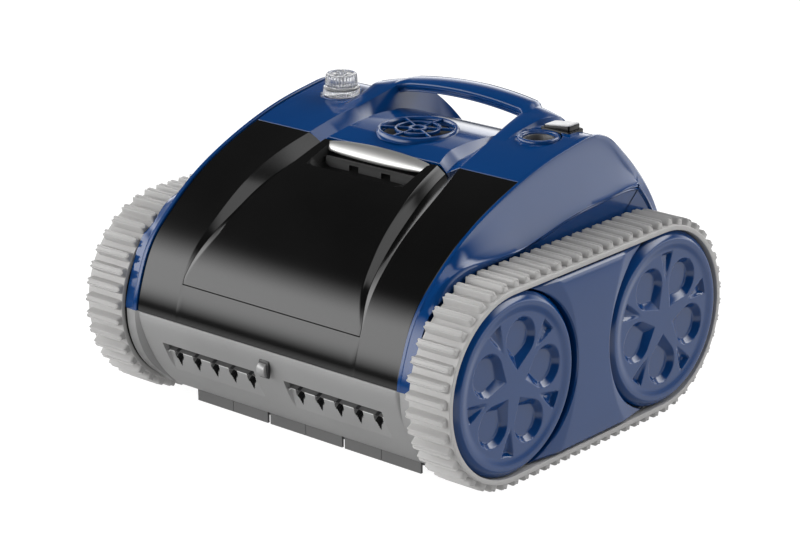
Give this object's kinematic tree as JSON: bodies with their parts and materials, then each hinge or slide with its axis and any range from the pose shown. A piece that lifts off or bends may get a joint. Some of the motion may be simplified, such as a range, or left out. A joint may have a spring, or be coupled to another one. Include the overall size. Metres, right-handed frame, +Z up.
{
  "type": "robotic pool cleaner",
  "caption": "Cordless robotic pool cleaner on two ribbed tracks, with a domed body, a hinged filter lid, a carrying handle, a top outlet grille and rubber wipers.",
  "frame": {"origin": "on the ground, midway between the four wheels", "axes": "+X towards the right-hand track (left-hand seen from the front), -Y forwards through the filter lid, +Z up"},
  "size_m": [0.433, 0.392, 0.277],
  "materials": {
    "blue_gloss": "high gloss moulded plastic",
    "black_gloss": "high gloss moulded plastic",
    "silver_band": "metallic paint on plastic",
    "chrome_trim": "bright plated",
    "track_rubber": "light grey rubber",
    "dark_rubber": "dark rubber",
    "dark_plastic": "fine matt texture",
    "grey_plastic": "fine matt texture",
    "clear_plastic": "clear moulded plastic",
    "steel": "turned stainless steel",
    "mesh_fabric": "fine filter mesh",
    "switch_silver": "silver paint",
    "board_green": "circuit board"
  },
  "bodies": {
    "chassis": {"front_band": "silver_band", "rear_band": "silver_band", "front_vents": "silver_band", "tow_hook": "silver_band", "front_cover": "black_gloss", "lid_hinge_pin": "steel", "upper_shell": "blue_gloss", "carry_handle": "blue_gloss", "outlet_grille": "blue_gloss", "outlet_mesh": "dark_plastic", "pump_duct": "grey_plastic", "shaft_seal": "dark_rubber", "pump_motor": "steel", "motor_housing": "grey_plastic", "battery_pack": "dark_plastic", "control_board": "board_green", "filter_basket": "grey_plastic", "basket_mesh": "mesh_fabric", "charge_ring": "blue_gloss", "charge_socket": "dark_plastic", "valve_seat": "blue_gloss", "valve_o_ring": "dark_rubber", "rocker_bezel": "dark_plastic", "switch_module": "dark_plastic", "base_tray": "grey_plastic", "hinge_pins": "steel", "wiper_flaps": "dark_rubber", "wiper_brackets": "grey_plastic", "shell_screws": "steel", "side_frame_right": "blue_gloss", "side_frame_left": "blue_gloss", "band_corners_right": "silver_band", "band_corners_left": "silver_band", "wheel_arms": "grey_plastic", "side_cover_right": "blue_gloss", "side_cover_left": "blue_gloss", "wheel_axles": "steel", "wheel_bushes": "grey_plastic", "drive_motors": "steel", "track_right": "track_rubber", "track_left": "track_rubber"},
    "front_right_wheel": {"wheel_front_right": "dark_plastic", "wheel_cover_front_right": "blue_gloss"},
    "rear_right_wheel": {"wheel_rear_right": "dark_plastic", "wheel_cover_rear_right": "blue_gloss"},
    "front_left_wheel": {"wheel_front_left": "dark_plastic", "wheel_cover_front_left": "blue_gloss"},
    "rear_left_wheel": {"wheel_rear_left": "dark_plastic", "wheel_cover_rear_left": "blue_gloss"},
    "right_pinion": {"drive_pinion_right": "grey_plastic"},
    "left_pinion": {"drive_pinion_left": "grey_plastic"},
    "impeller_rotor": {"impeller": "dark_plastic", "impeller_shaft": "steel"},
    "lid": {"filter_lid": "black_gloss", "lid_lip": "chrome_trim"},
    "latch": {"lid_latch": "dark_plastic"},
    "right_flap": {"intake_flap_right": "dark_rubber"},
    "left_flap": {"intake_flap_left": "dark_rubber"},
    "rocker": {"power_rocker": "switch_silver"},
    "knob": {"valve_knob": "clear_plastic"}
  },
  "joints": [
    {"name": "rear_right_wheel_spin", "type": "hinge", "parent": "chassis", "child": "rear_right_wheel", "pos_m": [0.195, 0.104, 0.092], "axis": [1, 0, 0], "continuous": true},
    {"name": "front_right_wheel_spin", "type": "hinge", "parent": "chassis", "child": "front_right_wheel", "pos_m": [0.195, -0.104, 0.092], "axis": [1, 0, 0], "continuous": true},
    {"name": "rear_left_wheel_spin", "type": "hinge", "parent": "chassis", "child": "rear_left_wheel", "pos_m": [-0.195, 0.104, 0.092], "axis": [1, 0, 0], "continuous": true},
    {"name": "front_left_wheel_spin", "type": "hinge", "parent": "chassis", "child": "front_left_wheel", "pos_m": [-0.195, -0.104, 0.092], "axis": [1, 0, 0], "continuous": true},
    {"name": "right_pinion_spin", "type": "hinge", "parent": "chassis", "child": "right_pinion", "pos_m": [0.165, 0.0473, 0.092], "axis": [1, 0, 0], "continuous": true},
    {"name": "left_pinion_spin", "type": "hinge", "parent": "chassis", "child": "left_pinion", "pos_m": [-0.165, 0.0473, 0.092], "axis": [1, 0, 0], "continuous": true},
    {"name": "impeller_spin", "type": "hinge", "parent": "chassis", "child": "impeller_rotor", "pos_m": [0, 0.0214, 0.2], "axis": [0, 0, 1], "continuous": true},
    {"name": "filter_lid_hinge", "type": "hinge", "parent": "chassis", "child": "lid", "pos_m": [0, -0.1728, 0.133], "axis": [1, 0, 0], "range_deg": [0, 95]},
    {"name": "lid_latch_press", "type": "hinge", "parent": "lid", "child": "latch", "pos_m": [0, -0.048, 0.2285], "axis": [1, 0, 0], "range_deg": [0, 20], "stiffness_Nm_per_rad": 0.02},
    {"name": "right_flap_hinge", "type": "hinge", "parent": "chassis", "child": "right_flap", "pos_m": [0.065, -0.0995, 0.0188], "axis": [1, 0, 0], "range_deg": [0, 60]},
    {"name": "left_flap_hinge", "type": "hinge", "parent": "chassis", "child": "left_flap", "pos_m": [-0.065, -0.0995, 0.0188], "axis": [1, 0, 0], "range_deg": [0, 60]},
    {"name": "power_rocker_tilt", "type": "hinge", "parent": "chassis", "child": "rocker", "pos_m": [0.12, 0.076, 0.254], "axis": [0, 1, 0], "range_deg": [0, 14]},
    {"name": "valve_knob_turn", "type": "hinge", "parent": "chassis", "child": "knob", "pos_m": [-0.1163, 0.0481, 0.26], "axis": [0, 0, 1], "range_deg": [0, 120]}
  ],
  "couplings": [
    {"joint": "front_right_wheel_spin", "follows": "rear_right_wheel_spin", "ratio": 1},
    {"joint": "right_pinion_spin", "follows": "rear_right_wheel_spin", "ratio": -4},
    {"joint": "front_left_wheel_spin", "follows": "rear_left_wheel_spin", "ratio": 1},
    {"joint": "left_pinion_spin", "follows": "rear_left_wheel_spin", "ratio": -4}
  ]
}
